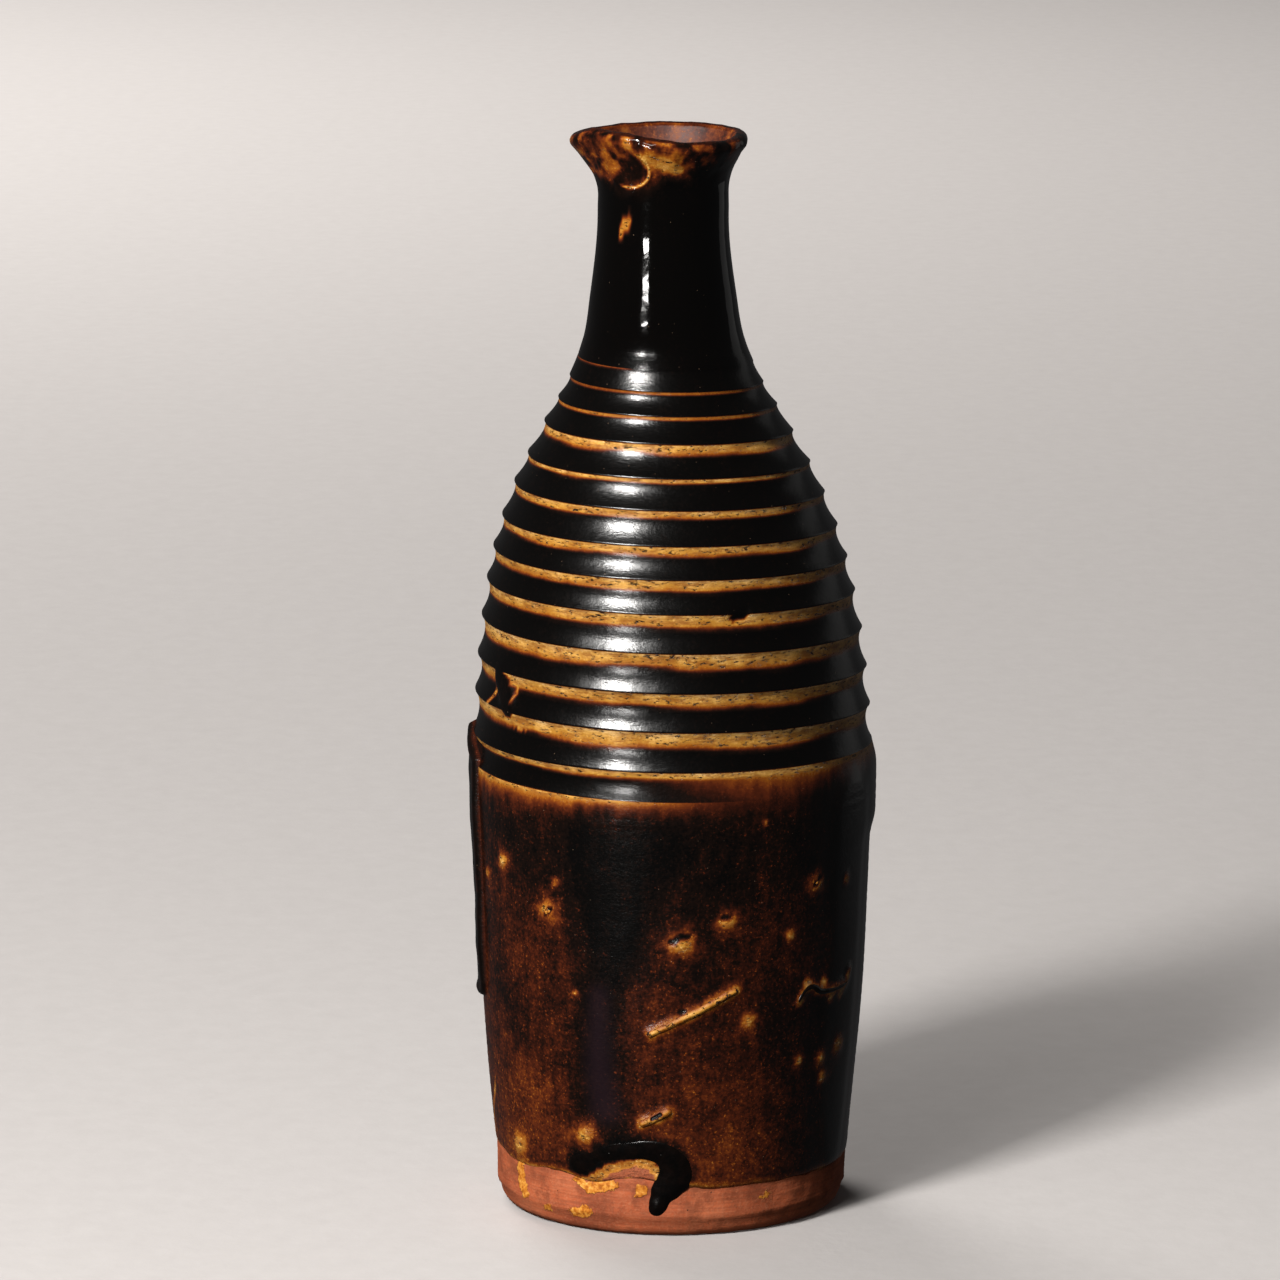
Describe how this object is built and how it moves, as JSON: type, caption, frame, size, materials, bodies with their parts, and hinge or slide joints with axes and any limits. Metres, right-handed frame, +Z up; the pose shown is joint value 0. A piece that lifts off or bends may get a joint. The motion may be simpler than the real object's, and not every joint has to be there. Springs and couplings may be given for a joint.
{
  "type": "sake bottle",
  "caption": "Tall stoneware sake bottle with a narrow neck, pinched pouring lip, spirally ridged shoulder, dark runny glaze, bare clay foot and an applied flank tablet.",
  "frame": {"origin": "centre of the flat foot, on the surface that the bottle stands on", "axes": "+Z up along the bottle's axis, -Y towards the front with the long glaze tear, -X towards the pouring lip and the applied tablet"},
  "size_m": [0.1013, 0.0996, 0.27],
  "materials": {
    "bare_clay": "matte unglazed red-brown stoneware with orange ash flecks",
    "dark_glaze": "glossy black-brown iron glaze breaking to amber where it thins",
    "black_glaze": "glossy black glaze run",
    "inner_glaze": "satin amber glaze lining",
    "thin_glaze": "amber glaze thinned over raised clay",
    "stone": "rough feldspar grain under a thin amber glaze"
  },
  "bodies": {
    "root": {"clay_body": "bare_clay", "outer_glaze": "dark_glaze", "inner_glaze": "inner_glaze", "side_tablet": "dark_glaze", "foot_glaze_tear": "black_glaze", "raised_scar": "black_glaze", "long_clay_sliver": "thin_glaze", "short_clay_sliver": "thin_glaze", "stone_01": "stone", "stone_02": "stone", "stone_03": "stone", "stone_04": "stone", "stone_05": "stone", "stone_06": "stone", "stone_07": "stone", "stone_08": "stone", "stone_09": "stone", "stone_10": "stone"}
  },
  "joints": []
}
